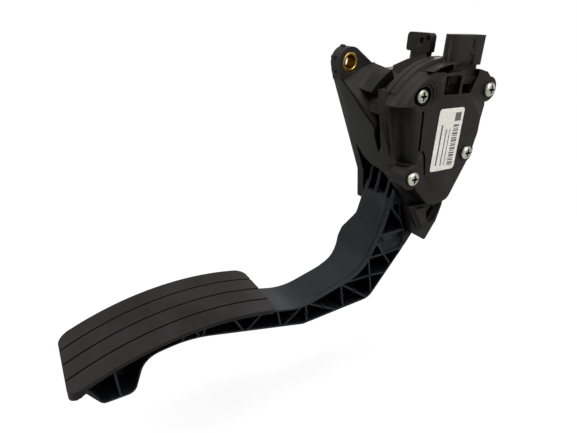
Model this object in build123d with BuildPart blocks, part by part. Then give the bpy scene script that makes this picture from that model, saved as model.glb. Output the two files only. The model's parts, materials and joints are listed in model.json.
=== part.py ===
from build123d import *
import math
import os

os.makedirs("parts", exist_ok=True)

# Accelerator pedal, in millimetres. X runs along the pivot, from the mounting face towards
# the sensor cover. Y runs forward from the driver and Z runs up. The origin is where the
# pivot axis meets the mounting face.

# Stack along the pivot, from the mounting face outwards
flange_t = 6.0
bush_boss_h = 2.5
washer_t = 1.2
run_gap = 0.3
hub_w = 24.0
boss_proud = 0.5
wall_t = 4.0
cover_h = 10.0
bush_face_x = flange_t + bush_boss_h
hub_x0 = bush_face_x + washer_t + run_gap
hub_x1 = hub_x0 + hub_w
near_boss_x = hub_x1 + run_gap + washer_t
wall_x = near_boss_x + boss_proud
part_x = wall_x + wall_t
face_x = part_x + cover_h

# Pivot shaft, bushes and friction washers
shaft_r = 5.0
shaft_play = 0.05
bush_wall = 2.0
bush_floor = 2.0
bush_proud = 1.2
bush_bore_r = shaft_r + shaft_play
bush_r = bush_bore_r + bush_wall
boss_wall = 3.5
boss_r = bush_r + boss_wall
end_gap = 0.3
washer_play = 0.3
washer_r = 11.0
washer_sides = 24

# Mounting ears with metal sleeves
sleeve_r = 5.4
sleeve_bore_r = 3.5
ear_t = 8.0
ear_wall = 2.8
ear_r = sleeve_r + ear_wall
sleeve_spots = [(-36.7, 38.5), (48.0, 30.0), (36.0, -38.0)]

# Housing walls
drum_r = 34.0
drum_wall = 3.0
drum_from = -16.0
drum_to = 157.0
rim_r = 44.0
rim_from = 48.0
rim_to = 142.0
front_wall = 4.0
front_top = (-44.0, 33.5)
front_low = (-16.7, -29.2)
hood_wall = 3.0
hood_x = 27.0
tongue_h = 6.0
tongue_draft = 18.0
tongue_floor = 1.0

# Return springs: coils round the hub, legs on the housing peg and on the arm
wire_r = 1.0
coil_r = 13.5
coil_pitch = 2.1
coil_turns = 3
coil_stations = 10
coil_play = 0.5
coil_gap = 0.35
leg_up = 25.0
leg_down = 30.0
leg_gap = 0.3
spring_room = 1.3
peg_gap = 0.2
peg_w = 3.0
peg_h = 9.0
peg_over = 1.0
relief_r = coil_r + wire_r + spring_room
spring_w = coil_turns * coil_pitch + 2 * wire_r
relief_w = spring_w + 2 * coil_gap

# Pedal travel and the arm
travel = 16.0
hub_r = coil_r - wire_r - coil_play
arm_wall = 2.6
arm_over = 1.0
arm_x0 = hub_x0
arm_x1 = hub_x1 + arm_over
web_t = 2.5
web_in = 7.5
web_x0 = arm_x0 + web_in
web_x1 = web_x0 + web_t
rib_t = 1.6
fin_t = 2.0
fin_x = 27.0
fin_low = -39.5
fin_back = -3.0
neck_front = -11.4
neck_rear = coil_r - wire_r - leg_gap
neck_near = -10.4
bend_z = -32.0
arm_drop = 44.0
shoulder_in = 0.2
bead_w = 2.6
bead_line = 0.8
bead_deep = 0.6
panel_drop = 2.0
lug_w = 8.0
stop_gap = 0.3

# Pedal pad on a curved seat
pad_cy = -137.0
seat_apex_z = -87.6
seat_r = 157.0
pad_t = 3.0
pad_x0 = -8.8
pad_x1 = 38.5
pad_tip = -207.0
pad_heel = -97.0
pad_lip = 1.2
pad_rim = 3.0
pad_corner = 6.0
plate_t = 2.6
beam_t = 4.3
foot_h = 27.2
lip_play = 0.1
groove_w = 1.2
groove_d = 1.0
groove_in = 5.0
pad_cz = seat_apex_z - seat_r
seat_x0 = pad_x0 + pad_rim
seat_x1 = pad_x1 - pad_rim + 1.0

# Sensor cover, its screws and what lies under it
screw_spots = [(30.8, 26.8), (21.8, -9.2), (-19.6, -19.5)]
sunk_spot = (-19.2, 25.2)
shank_r = 2.0
shank_l = 16.0
head_r = 4.0
head_h = 2.6
screw_boss_r = 4.0
boss_end = 1.0
hole_play = 0.3
sunk_seat_x = face_x - 3.5
sunk_play = 1.2
sunk_run = 3.8
lobe_r = 7.0
roll_r = 6.5
rim_step = 1.0
slit_w = 1.0
recess_x = part_x + 4.0
chamber = [(0.0, 0.0, 17.0), (19.0, 14.0, 7.0)]
chamber_sides = 20
board_x = part_x + 4.4
board_t = 1.4
board_play = 0.8
ledge_w = 2.0
chamber_top = part_x + 8.0
seal_in = 0.8
seal_w = 1.4
seal_t = 1.7
carrier_r = 12.0
carrier_t = 0.6
carrier_gap = 0.2
rotor_r = 11.0
rotor_in = 6.5
rotor_t = 0.5
rotor_sides = 18
label_w = 20.0
label_h = 36.0
label_t = 0.2

# Plug socket on the cover
socket_x0 = part_x + 0.2
socket_x1 = part_x + 9.0
socket_y0 = -2.4
socket_y1 = 23.2
socket_low = 30.0
socket_z0 = 40.3
socket_z1 = 55.4
socket_wall = 1.8
socket_r = 3.5
guide_proud = 0.6
key_w = 1.5
key_l = 4.5
pin_w = 0.64
pin_pitch = 2.54
pin_count = 6
pin_z0 = 13.5
pin_z1 = 50.0
pin_jog_z = 35.2
pin_jog = 3.0
pin_play = 0.08


def prism(x0, x1, points, radius=0.0, mode=Mode.ADD):
    """Extrude a closed side outline with rounded corners from x0 to x1."""
    with BuildSketch(Plane.YZ.offset(x0)) as outline:
        with BuildLine():
            FilletPolyline(*points, radius=radius, close=True)
        make_face()
    extrude(outline.sketch, amount=x1 - x0, mode=mode)


def disc(x0, x1, spot, radius, mode=Mode.ADD):
    """Extrude a round outline about spot from x0 to x1."""
    with BuildSketch(Plane.YZ.offset(x0)) as outline:
        with Locations(spot):
            Circle(radius)
    extrude(outline.sketch, amount=x1 - x0, mode=mode)


def hull(x0, x1, circles, mode=Mode.ADD):
    """Extrude the outline stretched round circles from x0 to x1."""
    with BuildSketch(Plane.YZ.offset(x0)) as outline:
        for y, z, r in circles:
            with Locations((y, z)):
                Circle(r)
        make_hull()
    extrude(outline.sketch, amount=x1 - x0, mode=mode)


def rod(x0, x1, spot, radius, mode=Mode.ADD):
    """Extrude a twelve-sided outline about spot from x0 to x1."""
    with BuildSketch(Plane.YZ.offset(x0)) as outline:
        with Locations(spot):
            RegularPolygon(radius, 12)
    extrude(outline.sketch, amount=x1 - x0, mode=mode)


def washer(x0, x1):
    """Friction washer round the shaft from x0 to x1."""
    with BuildSketch(Plane.YZ.offset(x0)) as outline:
        RegularPolygon(washer_r, washer_sides)
        RegularPolygon(shaft_r + washer_play, washer_sides, major_radius=False, mode=Mode.SUBTRACT)
    extrude(outline.sketch, amount=x1 - x0)


def chamber_hull(x0, x1, grow=0.0, hollow=0.0, mode=Mode.ADD):
    """Extrude the outline of the sensor chamber, solid or as a ring hollow wide."""
    with BuildSketch(Plane.YZ.offset(x0)) as outline:
        for y, z, r in chamber:
            with Locations((y, z)):
                RegularPolygon(r + grow, chamber_sides)
        make_hull()
        if hollow > 0:
            offset(amount=-hollow, kind=Kind.INTERSECTION, mode=Mode.SUBTRACT)
    extrude(outline.sketch, amount=x1 - x0, mode=mode)


def seat_point(r, y):
    """Point at y on the circle of radius r about the centre of the pad's curve."""
    return (y, pad_cz + math.sqrt(r * r - (y - pad_cy) ** 2))


def arc_strip(x0, x1, r0, r1, y0, y1, mode=Mode.ADD):
    """Extrude the strip between two circles about the pad's centre from x0 to x1."""
    mid = (y0 + y1) / 2
    with BuildSketch(Plane.YZ.offset(x0)) as outline:
        with BuildLine():
            low = ThreePointArc(seat_point(r0, y0), seat_point(r0, mid), seat_point(r0, y1))
            top = ThreePointArc(seat_point(r1, y0), seat_point(r1, mid), seat_point(r1, y1))
            Line(low @ 0, top @ 0)
            Line(low @ 1, top @ 1)
        make_face()
    extrude(outline.sketch, amount=x1 - x0, mode=mode)


def front_y(z, inset=0.0):
    """Y of the housing's sloping front wall at height z, inset from its outer face."""
    slope = (front_top[0] - front_low[0]) / (front_top[1] - front_low[1])
    return front_low[0] + (z - front_low[1]) * slope + inset * math.hypot(1, slope)


def hood_block(x0, inset):
    """Sloped hood under the ear, cut by the facet and inset from its outer faces."""
    with BuildPart() as block:
        with BuildSketch(Plane.YZ.offset(x0)):
            with BuildLine():
                Polyline(*hood_outline, close=True)
            make_face()
            if inset > 0:
                offset(amount=-inset, kind=Kind.INTERSECTION)
        extrude(amount=hood_x - x0)
        split(bisect_by=hood_facet.offset(-inset), keep=Keep.BOTTOM)
    return block.part


def front_panel(outline, radii, top, low):
    """Panel of the sloping front wall, its outline seen along Y as (X, Z)."""
    with BuildPart() as panel:
        with BuildSketch(Plane.XZ):
            with BuildLine():
                FilletPolyline(*outline, radius=radii, close=True)
            make_face()
        extrude(amount=-front_y(top))
        slab = [(front_y(top), top), (front_y(low), low)]
        slab += [(front_y(low, front_wall), low), (front_y(top, front_wall), top)]
        prism(0, face_x, slab, mode=Mode.INTERSECT)
    return panel.part


def outer_block(x0, outline, bent, radius):
    """Block of the cover whose outer face is rounded along its bent edge, a line or an arc."""
    with BuildPart() as block:
        with BuildSketch(Plane.YZ.offset(x0)):
            with BuildLine():
                add(bent)
                Polyline(bent @ 1, *outline, bent @ 0)
            make_face()
        extrude(amount=face_x - x0)
        middle = (face_x, (bent @ 0.5).X, (bent @ 0.5).Y)
        fillet(block.edges().sort_by_distance(middle)[0], radius=radius)
    return block.part


# Outlines of the housing, seen along the pivot as (Y, Z)
pivot = (0.0, 0.0)
hood_outline = [(front_y(34.0), 34.0), (front_y(1.0), 1.0), (-25.2, 17.6), (-25.6, 29.7), (-20.4, 37.6)]
hood_facet = Plane(origin=(ear_t, -42.4, 28.4), z_dir=(0.796, -0.238, 0.557))
flange_outline = [front_top, front_low, (-14.2, -49.5), (32.0, -46.6), pivot, (-5.0, 33.6), (-19.1, 37.9)]
flange_radii = [3.0, 0.0, 2.0, 4.0, 0.0, 0.0, 0.0]
plate_edge = [(-24.6, -11.0), (-16.5, -30.0), (-11.0, -37.0), (-0.5, -62.8), (12.9, -71.0), (19.7, -59.5)]
plate_edge += [(22.5, -45.0), (24.0, -14.0), (30.0, 0.0), (31.0, 18.0), (37.0, 27.0)]
plate_radii = [8.0, 4.0, 4.0, 1.5, 1.5, 10.0, 10.0, 10.0, 8.0, 8.0, 4.0]
tongue_outline = [(-11.4, -41.0), (1.0, -59.4), (6.5, -60.2), (14.2, -56.5), (18.3, -41.0)]
trench = [(0.0, -41.0), (5.2, -54.6), (10.4, -53.0), (14.4, -41.0)]
stop_wall = [(30.2, -8.0), (33.2, -8.0), (28.3, -50.0), (25.3, -50.0)]
gusset_x, gusset_low = 30.0, -6.0
gusset = [(front_y(gusset_low), gusset_low), (-34.4, 27.0), (-30.4, 27.0), (-20.0, gusset_low)]
# Outlines of the front wall, seen along Y as (X, Z), from the arch upwards
wall_top, wall_low = 4.0, -32.0
front_face = [(wall_x, wall_low), (29.5, -25.6), (25.5, -22.0), (16.5, -21.0), (10.5, -17.0)]
front_face += [(flange_t, -9.5), (flange_t, wall_top), (26.0, wall_top), (26.6, -10.4)]
front_face += [(gusset_x, gusset_low), (wall_x, gusset_low)]
face_radii = [0.0, 3.0, 4.0, 4.0, 4.0, 0.0, 0.0, 0.0, 0.4, 0.0, 0.0]
# Tab and pedestal on the crown, seen along Y as (X, Z)
tab_t = 4.0
tab_hole = (30.0, 52.2)
tab_hole_r = 1.5
tab_outline = [(18.0, 39.0), (18.0, 45.2), (14.2, 45.2), (14.2, 55.2), (32.0, 55.2), (32.0, 45.2)]
tab_outline += [(30.4, 45.2), (30.4, 39.0)]
tab_radii = [0.0, 0.6, 1.6, 2.4, 2.4, 0.8, 0.6, 0.0]
pedestal_t = 11.0
pedestal = [(9.0, 30.0), (9.0, 36.2), (20.5, 41.2), (33.5, 41.2), (33.5, 30.0)]
screw_seats = [(spot, face_x) for spot in screw_spots] + [(sunk_spot, sunk_seat_x)]
peg_y = coil_r - wire_r - peg_gap
far_leg_x = hub_x0 + coil_gap + wire_r
near_leg_x = hub_x1 - coil_gap - wire_r

# Housing: moulded body that carries the pivot, the stops and the sensor
with BuildPart() as housing:
    hull(0, flange_t, [(0, 0, drum_r), (*sleeve_spots[1], ear_r), (*sleeve_spots[2], ear_r)])
    front_cut = [front_top, front_low, flange_outline[2], (-60.0, -49.5), (-60.0, 33.5)]
    prism(0, flange_t, front_cut, mode=Mode.SUBTRACT)
    add(hood_block(0, 0))
    with BuildSketch(Plane.YZ.offset(flange_t)):
        with BuildLine():
            outer = CenterArc(pivot, drum_r, drum_from, drum_to - drum_from)
            inner = CenterArc(pivot, drum_r - drum_wall, drum_from, drum_to - drum_from)
            Line(outer @ 0, inner @ 0)
            Line(outer @ 1, inner @ 1)
        make_face()
    extrude(amount=wall_x - flange_t)
    # Sloping front wall with the rounded arch that the arm passes through
    add(front_panel(front_face, face_radii, wall_top, wall_low))
    prism(gusset_x, wall_x, gusset)
    # Front edge of the flange and the ears
    prism(0, flange_t, flange_outline, radius=flange_radii)
    hull(0, ear_t, [(*sleeve_spots[0], ear_r), (-41.3, 29.4, 1.2), (-21.3, 36.6, 1.2)])
    for spot in sleeve_spots[1:]:
        disc(0, ear_t, spot, ear_r)
    add(hood_block(0, hood_wall), mode=Mode.SUBTRACT)
    # Wall behind the arm, near wall and the tongue below it
    prism(flange_t, wall_x, stop_wall)
    with BuildSketch(Plane.YZ.offset(wall_x)):
        with BuildLine():
            rim = CenterArc(pivot, rim_r, rim_from, rim_to - rim_from)
            FilletPolyline(rim @ 1, *plate_edge, rim @ 0, radius=plate_radii)
        make_face()
    extrude(amount=wall_t)
    with BuildSketch(Plane.YZ.offset(part_x)) as tongue:
        with BuildLine():
            Polyline(*tongue_outline, close=True)
        make_face()
    extrude(tongue.sketch, amount=tongue_h, taper=tongue_draft)
    prism(part_x + tongue_floor, part_x + tongue_h, trench, mode=Mode.SUBTRACT)
    # Bosses for the bushes and the cover screws
    disc(flange_t, bush_face_x, pivot, boss_r)
    disc(near_boss_x, part_x + bush_proud, pivot, boss_r)
    for spot, seat in screw_seats:
        disc(seat - shank_l - boss_end, part_x, spot, screw_boss_r)
    # Pegs that hold the fixed spring legs
    peg_top = leg_up + peg_over
    peg_low = peg_top - peg_h
    peg = [(peg_y - peg_w, peg_low), (peg_y, peg_low), (peg_y, peg_top), (peg_y - peg_w, peg_top)]
    prism(flange_t, far_leg_x + 2 * wire_r, peg)
    prism(near_leg_x - 2 * wire_r, wall_x, peg)
    # Drilled tab on its pedestal on the crown
    with BuildSketch(Plane.XZ.offset(-tab_t / 2)):
        with BuildLine():
            FilletPolyline(*tab_outline, radius=tab_radii, close=True)
        make_face()
        with Locations(tab_hole):
            Circle(tab_hole_r, mode=Mode.SUBTRACT)
    extrude(amount=tab_t)
    with BuildSketch(Plane.XZ.offset(-pedestal_t / 2)):
        with BuildLine():
            Polyline(*pedestal, close=True)
        make_face()
    extrude(amount=pedestal_t)
    # Bores
    disc(bush_floor, bush_face_x, pivot, bush_r, mode=Mode.SUBTRACT)
    disc(near_boss_x, part_x + bush_proud, pivot, bush_r, mode=Mode.SUBTRACT)
    for spot in sleeve_spots:
        disc(0, ear_t, spot, sleeve_r, mode=Mode.SUBTRACT)
    for spot, seat in screw_seats:
        rod(seat - shank_l, part_x, spot, shank_r, mode=Mode.SUBTRACT)
    chamber_hull(part_x - seal_t, part_x, grow=seal_in + seal_w, hollow=seal_w, mode=Mode.SUBTRACT)
housing.part.label = "housing"
export_step(housing.part, "parts/housing.step")

# Mounting sleeves: turned tubes that take the clamping force of the bolts
with BuildPart() as mounting_sleeves:
    for spot in sleeve_spots:
        disc(0, ear_t, spot, sleeve_r)
        disc(0, ear_t, spot, sleeve_bore_r, mode=Mode.SUBTRACT)
mounting_sleeves.part.label = "mounting_sleeves"
export_step(mounting_sleeves.part, "parts/mounting_sleeves.step")

# Left bush: plain bearing in the blind bore of the flange
with BuildPart() as left_bush:
    disc(bush_floor, bush_face_x, pivot, bush_r)
    disc(bush_floor, bush_face_x, pivot, bush_bore_r, mode=Mode.SUBTRACT)
left_bush.part.label = "left_bush"
export_step(left_bush.part, "parts/left_bush.step")

# Right bush: plain bearing in the near wall
with BuildPart() as right_bush:
    disc(near_boss_x, part_x + bush_proud, pivot, bush_r)
    disc(near_boss_x, part_x + bush_proud, pivot, bush_bore_r, mode=Mode.SUBTRACT)
right_bush.part.label = "right_bush"
export_step(right_bush.part, "parts/right_bush.step")

# Left friction washer: rests on the boss round the left bush
with BuildPart() as left_friction_washer:
    washer(bush_face_x, bush_face_x + washer_t)
left_friction_washer.part.label = "left_friction_washer"
export_step(left_friction_washer.part, "parts/left_friction_washer.step")

# Right friction washer: rests on the boss round the right bush
with BuildPart() as right_friction_washer:
    washer(near_boss_x - washer_t, near_boss_x)
right_friction_washer.part.label = "right_friction_washer"
export_step(right_friction_washer.part, "parts/right_friction_washer.step")

# Idle stop: rubber block on the front wall that the neck of the arm rests against
with BuildPart() as idle_stop:
    idle_top, idle_low = -11.0, -18.5
    idle_face = neck_front - stop_gap
    idle_block = [(front_y(idle_top, front_wall), idle_top), (front_y(idle_low, front_wall), idle_low)]
    prism(14.0, 28.0, idle_block + [(idle_face, idle_low), (idle_face, idle_top)], radius=[0, 0, 1, 1])
idle_stop.part.label = "idle_stop"
export_step(idle_stop.part, "parts/idle_stop.step")

# Full travel stop: rubber block on the wall behind the arm, which stands upright at full travel
turn = math.radians(travel)
rear_full = neck_rear * math.cos(turn) - bend_z * math.sin(turn)
with BuildPart() as full_travel_stop:
    stop_top, stop_low = -38.0, -48.0
    stop_slope = (stop_wall[0][0] - stop_wall[3][0]) / (stop_wall[0][1] - stop_wall[3][1])
    back_top = stop_wall[3][0] + (stop_top - stop_wall[3][1]) * stop_slope
    back_low = stop_wall[3][0] + (stop_low - stop_wall[3][1]) * stop_slope
    stop_face = rear_full + stop_gap
    stop_block = [(stop_face, stop_top), (stop_face, stop_low), (back_low, stop_low), (back_top, stop_top)]
    prism(14.0, 30.0, stop_block, radius=[1, 1, 0, 0])
full_travel_stop.part.label = "full_travel_stop"
export_step(full_travel_stop.part, "parts/full_travel_stop.step")

# Sensor cover: moulded lid with the plug socket, screwed to the near wall
cover_outline = [(26.0, 24.5), (31.0, 20.0), (29.8, 10.0), (30.0, 2.0), (27.0, -12.0), (14.2, -38.0)]
cover_outline += [(4.0, -40.0), (-4.0, -37.5), (-15.0, -27.0), (-20.0, -10.0), (-20.0, 22.0)]
cover_radii = [3.0, 6.0, 10.0, 6.0, 8.0, 6.0, 12.0, 8.0, 0.0, 0.0, 0.0]
roll_top, roll_low, roll_in = 21.0, -12.5, -15.0
roll_edge = Line((-32.6, roll_top), (-24.2, roll_low), mode=Mode.PRIVATE)
corner_edge = CenterArc(pivot, rim_r - rim_step, 119.5, 32.0, mode=Mode.PRIVATE)
corner_in = -6.5
slits = [[(-18.9, 17.0), (-17.4, -4.0)], [(-14.8, -5.0), (-12.6, -7.0), (-9.4, -19.0)]]
gap_from, gap_to, gap_r = 93.0, 116.0, rim_r - 2 * rim_step
socket_cx = (socket_x0 + socket_x1) / 2
socket_cy = (socket_y0 + socket_y1) / 2
socket_dx = socket_x1 - socket_x0
socket_dy = socket_y1 - socket_y0
pin_low_x = board_x - board_t - pin_w
pin_top_x = socket_cx - pin_w / 2
pin_outline = [(pin_low_x, pin_z0), (pin_low_x + pin_w, pin_z0), (pin_low_x + pin_w, pin_jog_z)]
pin_outline += [(pin_top_x + pin_w, pin_jog_z + pin_jog), (pin_top_x + pin_w, pin_z1), (pin_top_x, pin_z1)]
pin_outline += [(pin_top_x, pin_jog_z + pin_jog), (pin_low_x, pin_jog_z)]
pin_ys = [socket_cy + (i - (pin_count - 1) / 2) * pin_pitch for i in range(pin_count)]
with BuildPart() as sensor_cover:
    prism(part_x, face_x, cover_outline, radius=cover_radii)
    with BuildSketch(Plane.YZ.offset(part_x)):
        with BuildLine():
            rim = CenterArc(pivot, rim_r, rim_from, rim_to - rim_from)
            Polyline(rim @ 1, (-26.0, 10.0), (30.0, 10.0), (32.0, 20.0), rim @ 0)
        make_face()
    extrude(amount=recess_x - part_x)
    for spot in screw_spots:
        disc(part_x, face_x, spot, lobe_r)
    # Rolled side and rounded upper corner, with a gap between the corner and the rim
    add(outer_block(part_x, [(roll_in, roll_low), (roll_in, roll_top)], roll_edge, roll_r))
    corner_low, corner_top = (corner_edge @ 1).Y, (corner_edge @ 0).Y
    add(outer_block(part_x, [(corner_in, corner_low), (corner_in, corner_top)], corner_edge, roll_r))
    with BuildSketch(Plane.YZ.offset(part_x + rim_step)) as gap:
        with BuildLine():
            arc = CenterArc(pivot, gap_r, gap_from, gap_to - gap_from)
            Polyline(arc @ 1, ((arc @ 0).X, corner_top + slit_w / 2), arc @ 0)
        make_face()
    extrude(gap.sketch, amount=cover_h, mode=Mode.SUBTRACT)
    # Block above the label plate, with two cells under the socket
    upper_block = [(-7.0, 20.0), (-7.0, 36.6), (21.0, 38.0), (27.5, 36.5), (35.4, 30.2), (31.0, 20.0)]
    prism(part_x, face_x, upper_block)
    prism(recess_x, face_x, [(-5.5, 25.2), (6.3, 25.2), (6.3, 35.2), (-5.5, 35.2)], mode=Mode.SUBTRACT)
    prism(recess_x, face_x, [(8.2, 25.2), (15.8, 25.2), (20.3, 35.2), (8.2, 35.2)], mode=Mode.SUBTRACT)
    # Plug socket on a narrower neck
    with BuildSketch(Plane.XY.offset(socket_low)):
        with Locations((socket_cx, socket_cy)):
            RectangleRounded(socket_dx - 2 * socket_wall, socket_dy - 2 * socket_wall, socket_r - socket_wall)
    extrude(amount=socket_z0 - socket_low)
    with BuildSketch(Plane.XY.offset(socket_z0)):
        with Locations((socket_cx, socket_cy)):
            RectangleRounded(socket_dx, socket_dy, socket_r)
    extrude(amount=socket_z1 - socket_z0)
    with BuildSketch(Plane.XY.offset(socket_z0 + socket_wall)):
        with Locations((socket_cx, socket_cy)):
            RectangleRounded(socket_dx - 2 * socket_wall, socket_dy - 2 * socket_wall, socket_r - socket_wall)
    extrude(amount=socket_z1, mode=Mode.SUBTRACT)
    # Raised guide, key slot and latch nub on the socket's outer face
    guide_y0, guide_y1 = 13.6, socket_y1 - socket_r
    with Locations((socket_x1, (guide_y0 + guide_y1) / 2, (socket_z0 + socket_z1) / 2)):
        Box(2 * guide_proud, guide_y1 - guide_y0, socket_z1 - socket_z0)
    with Locations((socket_x1, guide_y0 - key_w, socket_z1 - key_l)):
        Box(socket_wall, key_w, key_l, mode=Mode.SUBTRACT)
    with Locations((socket_x1, guide_y0 - key_w, socket_z1 - 2 * key_l)):
        Box(2 * guide_proud, 2 * key_w, key_w)
    # Sensor chamber with a ledge for the circuit board
    chamber_hull(part_x, board_x, mode=Mode.SUBTRACT)
    chamber_hull(board_x, chamber_top, grow=-ledge_w, mode=Mode.SUBTRACT)
    for y in pin_ys:
        with BuildSketch(Plane.XZ.offset(-y - pin_w / 2 - pin_play)):
            with BuildLine():
                Polyline(*pin_outline, close=True)
            make_face()
            offset(amount=pin_play, kind=Kind.INTERSECTION)
        extrude(amount=pin_w + 2 * pin_play, mode=Mode.SUBTRACT)
    # Screw holes and the sunk seat
    for spot, seat in screw_seats:
        rod(part_x, seat, spot, shank_r + hole_play, mode=Mode.SUBTRACT)
    sunk_hole = [(*sunk_spot, head_r + sunk_play), (sunk_spot[0] - sunk_run, sunk_spot[1], head_r)]
    hull(sunk_seat_x, face_x, sunk_hole, mode=Mode.SUBTRACT)
    # Two slits beside the label plate
    for path in slits:
        with BuildSketch(Plane.YZ.offset(face_x - slit_w)) as slit:
            with BuildLine():
                Polyline(*path)
            trace(line_width=slit_w)
        extrude(slit.sketch, amount=2 * slit_w, mode=Mode.SUBTRACT)
sensor_cover.part.label = "sensor_cover"
export_step(sensor_cover.part, "parts/sensor_cover.step")

# Cover seal: rubber ring in the groove of the near wall
with BuildPart() as cover_seal:
    chamber_hull(part_x - seal_t, part_x, grow=seal_in + seal_w, hollow=seal_w)
cover_seal.part.label = "cover_seal"
export_step(cover_seal.part, "parts/cover_seal.step")

# Cover screws: pan heads on plain shanks
with BuildPart() as cover_screws:
    for spot, seat in screw_seats:
        rod(seat - shank_l, seat, spot, shank_r)
        disc(seat, seat + head_h, spot, head_r)
cover_screws.part.label = "cover_screws"
export_step(cover_screws.part, "parts/cover_screws.step")

# Circuit board: lies on the ledge of the sensor chamber
with BuildPart() as circuit_board:
    chamber_hull(board_x - board_t, board_x, grow=-board_play)
circuit_board.part.label = "circuit_board"
export_step(circuit_board.part, "parts/circuit_board.step")

# Sensor chips: two moulded packages on the circuit board
with BuildPart() as sensor_chips:
    for y in (-7.0, 7.0):
        with Locations((board_x + 0.6, y, -5.0)):
            Box(1.2, 5.0, 6.2)
sensor_chips.part.label = "sensor_chips"
export_step(sensor_chips.part, "parts/sensor_chips.step")

# Connector pins: square blades from the circuit board, stepped out to the middle of the socket
with BuildPart() as connector_pins:
    for y in pin_ys:
        with BuildSketch(Plane.XZ.offset(-y - pin_w / 2)):
            with BuildLine():
                Polyline(*pin_outline, close=True)
            make_face()
        extrude(amount=pin_w)
connector_pins.part.label = "connector_pins"
export_step(connector_pins.part, "parts/connector_pins.step")

# Label: bare plate of film on the cover's face
with BuildPart() as label:
    with BuildSketch(Plane.YZ.offset(face_x)):
        with Locations((3.9, 0.0)):
            RectangleRounded(label_w, label_h, 1.5)
    extrude(amount=label_t)
label.part.label = "label"
export_step(label.part, "parts/label.step")

# Outlines of the arm, seen along the pivot as (Y, Z)
rear_low = (neck_rear - arm_drop * math.sin(turn), bend_z - arm_drop * math.cos(turn))
beam_top = -34.5
rear_top = (neck_rear + (beam_top - bend_z) * math.tan(turn), beam_top)
skin_path = [(-15.2, beam_top), (-21.5, -58.5), (-33.5, -85.0), (-78.5, -97.4)]
skin_radii = [60.0, 24.0]
heel = seat_point(seat_r, pad_heel)
tip = seat_point(seat_r, pad_tip + pad_rim)
foot_z = seat_apex_z - foot_h
underside = [seat_point(seat_r - plate_t, -200.0), (-193.0, foot_z), (-177.5, foot_z)]
underside += [seat_point(seat_r - beam_t, -171.0), seat_point(seat_r - beam_t, -148.0)]
underside += [(-77.0, -109.8), (-25.5, -107.3), rear_low]
under_radii = [0.5, 4.0, 5.0, 12.0, 60.0, 6.0, 9.0, 20.0]
channel = [(-16.5, fin_low), *skin_path[1:], heel, seat_point(seat_r, -126.0)]
channel += [seat_point(seat_r - 9.8, -126.0), *underside[5:]]
channel += [(rear_top[0] + (fin_low - beam_top) * math.tan(turn), fin_low)]
channel_radii = [1.0, *skin_radii, 40.0, 30.0, 1.0, 1.0, 6.0, 9.0, 20.0, 1.0]
foot_pocket = [seat_point(seat_r - plate_t - rib_t, -195.4), (-191.3, foot_z + arm_wall)]
foot_pocket += [(-179.4, foot_z + arm_wall), seat_point(seat_r - plate_t - beam_t, -174.4)]
foot_mid = (-185.4, foot_z + foot_h / 2)
near_ribs = [
    ((-16.5, -44.0), (-7.5, -53.7)), ((-7.5, -53.7), (-2.5, -62.3)),
    ((-2.5, -62.3), (-0.5, -74.1)), ((-11.0, -38.0), (-7.9, -51.6)),
    ((-23.3, -62.3), (-4.2, -61.9)), ((-24.3, -66.1), (-18.3, -75.2)),
    ((-18.3, -75.2), (-8.8, -87.2)), ((-28.6, -76.7), (-0.7, -75.4)),
    ((-29.0, -78.7), (-23.6, -104.4)), ((-40.0, -89.7), (-27.4, -89.9)),
    ((-27.4, -89.9), (-12.3, -91.4)), ((-46.1, -92.5), (-26.6, -107.4)),
    ((-49.5, -93.1), (-46.7, -107.5)), ((-70.7, -98.1), (-50.7, -108.9)),
    ((-75.5, -97.5), (-74.1, -109.5)), ((-78.7, -96.9), (-89.0, -104.9)),
    ((-95.3, -93.2), (-93.1, -104.5)), ((-105.0, -92.0), (-113.5, -99.2)),
    ((-122.2, -90.2), (-117.9, -98.1)),
]
panel = [(-24.0, -62.6), (-4.0, -62.0), (-0.8, -74.0), (-9.5, -75.6), (-18.3, -75.2), (-24.4, -66.2)]
panel_mark = (-18.4, -67.5)
panel_mark_r = 1.3
shoulder = [(14.0, beam_top), (8.6, beam_top), (8.2, -57.0), (1.2, -69.5), (1.2, -76.0), (6.0, -84.0)]
shoulder += [(10.0, -90.0), (14.0, -90.0)]
shoulder_radii = [0.0, 0.0, 4.0, 5.0, 4.0, 6.0, 0.0, 0.0]
fin_line = [(neck_front, 0.0), (neck_front, -20.5), (-14.0, -25.5), (-15.4, -38.0)]
neck_line = fin_line + [(neck_rear - 1.4, bend_z - 5.0), (neck_rear, bend_z), (neck_rear, 0.0)]
fin_slot = [(-20.0, -relief_r), (-20.0, fin_low), (fin_back, fin_low), (fin_back, -relief_r)]
near_slot = [(-20.0, 0.0), (-20.0, bend_z - 1.0), (neck_near, bend_z - 1.0), (neck_near, 0.0)]
lug = [rear_low, (5.3, -66.6), (6.2, -53.0), (3.0, -58.0)]

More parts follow.
